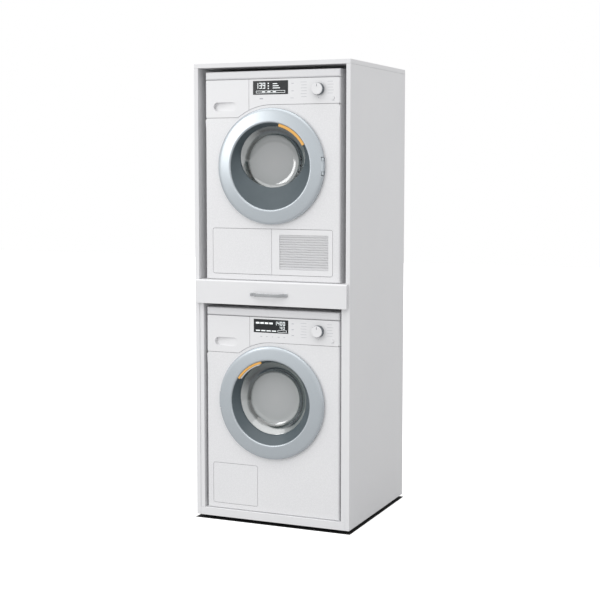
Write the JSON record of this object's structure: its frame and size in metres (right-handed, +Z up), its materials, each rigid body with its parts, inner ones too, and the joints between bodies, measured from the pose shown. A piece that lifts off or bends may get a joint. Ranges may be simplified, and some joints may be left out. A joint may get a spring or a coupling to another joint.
{
  "type": "washer dryer stack",
  "caption": "Tall open-fronted white cabinet holding a tumble dryer above a washing machine, with a pull-out tray and bow handle between them.",
  "frame": {"origin": "on the floor, at the middle of the footprint from the tray handle's front to the cabinet's back edge", "axes": "+Z up, -Y is the front, +X is the right-hand side seen from the front"},
  "size_m": [0.69, 0.7014, 1.8973],
  "materials": {
    "white_laminate": "white melamine facing, satin",
    "white_enamel": "smooth white enamel",
    "white_plastic": "smooth white, semi-gloss",
    "dark_plastic": "black, matt",
    "silver_trim": "satin silver paint",
    "stainless_steel": "stainless, satin",
    "polished_steel": "polished",
    "zinc_steel": "zinc plated sheet",
    "cast_aluminium": "as cast",
    "grey_rubber": "matt grey",
    "black_rubber": "matt black",
    "door_glass": "clear, polished",
    "display_glass": "dark, glossy",
    "module_plastic": "grey, matt"
  },
  "bodies": {
    "cabinet": {"cabinet_base": "white_laminate", "cabinet_left_side": "white_laminate", "cabinet_right_side": "white_laminate", "cabinet_shelf": "white_laminate", "cabinet_top": "white_laminate", "carrier_panel_left": "white_laminate", "carrier_panel_right": "white_laminate", "dryer_belt": "black_rubber", "dryer_bulkhead": "white_plastic", "dryer_control_panel": "white_plastic", "dryer_display": "display_glass", "dryer_door_hinge": "zinc_steel", "dryer_front_panel": "white_enamel", "dryer_grille": "white_plastic", "dryer_heat_exchanger": "module_plastic", "dryer_housing": "white_enamel", "dryer_lid": "white_plastic", "dryer_motor": "cast_aluminium", "dryer_rear_cover": "zinc_steel", "foot_back_left": "dark_plastic", "foot_back_right": "dark_plastic", "foot_front_left": "dark_plastic", "foot_front_right": "dark_plastic", "tray_runner_left": "zinc_steel", "tray_runner_right": "zinc_steel", "washer_belt": "black_rubber", "washer_control_panel": "white_plastic", "washer_damper_left": "dark_plastic", "washer_damper_right": "dark_plastic", "washer_display": "display_glass", "washer_door_gasket": "grey_rubber", "washer_door_hinge": "zinc_steel", "washer_drain_pump": "dark_plastic", "washer_front_panel": "white_enamel", "washer_housing": "white_enamel", "washer_lid": "white_plastic", "washer_motor": "cast_aluminium", "washer_rear_cover": "zinc_steel", "washer_tub": "module_plastic"},
    "tray": {"tray_front": "white_laminate", "tray_handle": "polished_steel", "tray_box": "white_laminate"},
    "washer_door": {"washer_door_ring": "silver_trim", "washer_door_glass": "door_glass"},
    "dryer_door": {"dryer_door_ring": "silver_trim", "dryer_door_glass": "door_glass"},
    "washer_drum": {"washer_drum": "stainless_steel", "washer_drum_pulley": "cast_aluminium"},
    "washer_motor_pulley": {"washer_motor_pulley": "stainless_steel"},
    "dryer_drum": {"dryer_drum": "stainless_steel"},
    "dryer_motor_rotor": {"dryer_motor_rotor": "stainless_steel"},
    "washer_knob": {"washer_knob": "white_plastic"},
    "dryer_knob": {"dryer_knob": "white_plastic"},
    "washer_start_button": {"washer_start_button": "white_plastic"},
    "dryer_start_button": {"dryer_start_button": "white_plastic"},
    "detergent_drawer": {"washer_detergent_drawer": "white_plastic"},
    "water_drawer": {"dryer_water_drawer": "white_plastic"},
    "filter_flap": {"washer_filter_flap": "white_enamel"},
    "plinth_flap": {"dryer_plinth_flap": "white_enamel"},
    "drain_filter": {"washer_drain_filter": "dark_plastic"}
  },
  "joints": [
    {"name": "tray_slide", "type": "slide", "parent": "cabinet", "child": "tray", "axis": [0, -1, 0], "range_m": [0, 0.4]},
    {"name": "washer_door_hinge", "type": "hinge", "parent": "cabinet", "child": "washer_door", "pos_m": [-0.228, -0.31025, 0.5124], "axis": [0, 0, -1], "range_deg": [0, 160]},
    {"name": "dryer_door_hinge", "type": "hinge", "parent": "cabinet", "child": "dryer_door", "pos_m": [0.228, -0.31025, 1.4788], "axis": [0, 0, 1], "range_deg": [0, 160]},
    {"name": "washer_drum_spin", "type": "hinge", "parent": "cabinet", "child": "washer_drum", "pos_m": [0, 0.00075, 0.5124], "axis": [0, 1, 0], "continuous": true},
    {"name": "washer_motor_spin", "type": "hinge", "parent": "cabinet", "child": "washer_motor_pulley", "pos_m": [0.1, 0.20075, 0.1514], "axis": [0, 1, 0], "continuous": true},
    {"name": "dryer_drum_spin", "type": "hinge", "parent": "cabinet", "child": "dryer_drum", "pos_m": [0, 0.00075, 1.4788], "axis": [0, 1, 0], "continuous": true},
    {"name": "dryer_motor_spin", "type": "hinge", "parent": "cabinet", "child": "dryer_motor_rotor", "pos_m": [0.185, 0.10075, 1.0978], "axis": [0, 1, 0], "continuous": true},
    {"name": "washer_knob_turn", "type": "hinge", "parent": "cabinet", "child": "washer_knob", "pos_m": [0.206, -0.29925, 0.8174], "axis": [0, 1, 0], "continuous": true},
    {"name": "dryer_knob_turn", "type": "hinge", "parent": "cabinet", "child": "dryer_knob", "pos_m": [0.206, -0.29925, 1.7838], "axis": [0, 1, 0], "continuous": true},
    {"name": "washer_button_press", "type": "slide", "parent": "cabinet", "child": "washer_start_button", "axis": [0, 1, 0], "range_m": [0, 0.002], "stiffness_N_per_m": 300, "springref_m": -0.003},
    {"name": "dryer_button_press", "type": "slide", "parent": "cabinet", "child": "dryer_start_button", "axis": [0, 1, 0], "range_m": [0, 0.002], "stiffness_N_per_m": 300, "springref_m": -0.003},
    {"name": "detergent_drawer_slide", "type": "slide", "parent": "cabinet", "child": "detergent_drawer", "axis": [0, -1, 0], "range_m": [0, 0.25]},
    {"name": "water_drawer_slide", "type": "slide", "parent": "cabinet", "child": "water_drawer", "axis": [0, -1, 0], "range_m": [0, 0.25]},
    {"name": "filter_flap_hinge", "type": "hinge", "parent": "cabinet", "child": "filter_flap", "pos_m": [-0.1685, -0.29925, 0.0704], "axis": [1, 0, 0], "range_deg": [0, 90]},
    {"name": "plinth_flap_hinge", "type": "hinge", "parent": "cabinet", "child": "plinth_flap", "pos_m": [-0.266, -0.29925, 1.0393], "axis": [0, 0, -1], "range_deg": [0, 110]},
    {"name": "drain_filter_turn", "type": "hinge", "parent": "cabinet", "child": "drain_filter", "pos_m": [-0.168, -0.26925, 0.1514], "axis": [0, -1, 0], "range_deg": [0, 90]}
  ],
  "couplings": [
    {"joint": "washer_motor_spin", "follows": "washer_drum_spin", "ratio": 11.924},
    {"joint": "dryer_motor_spin", "follows": "dryer_drum_spin", "ratio": 23.302}
  ]
}
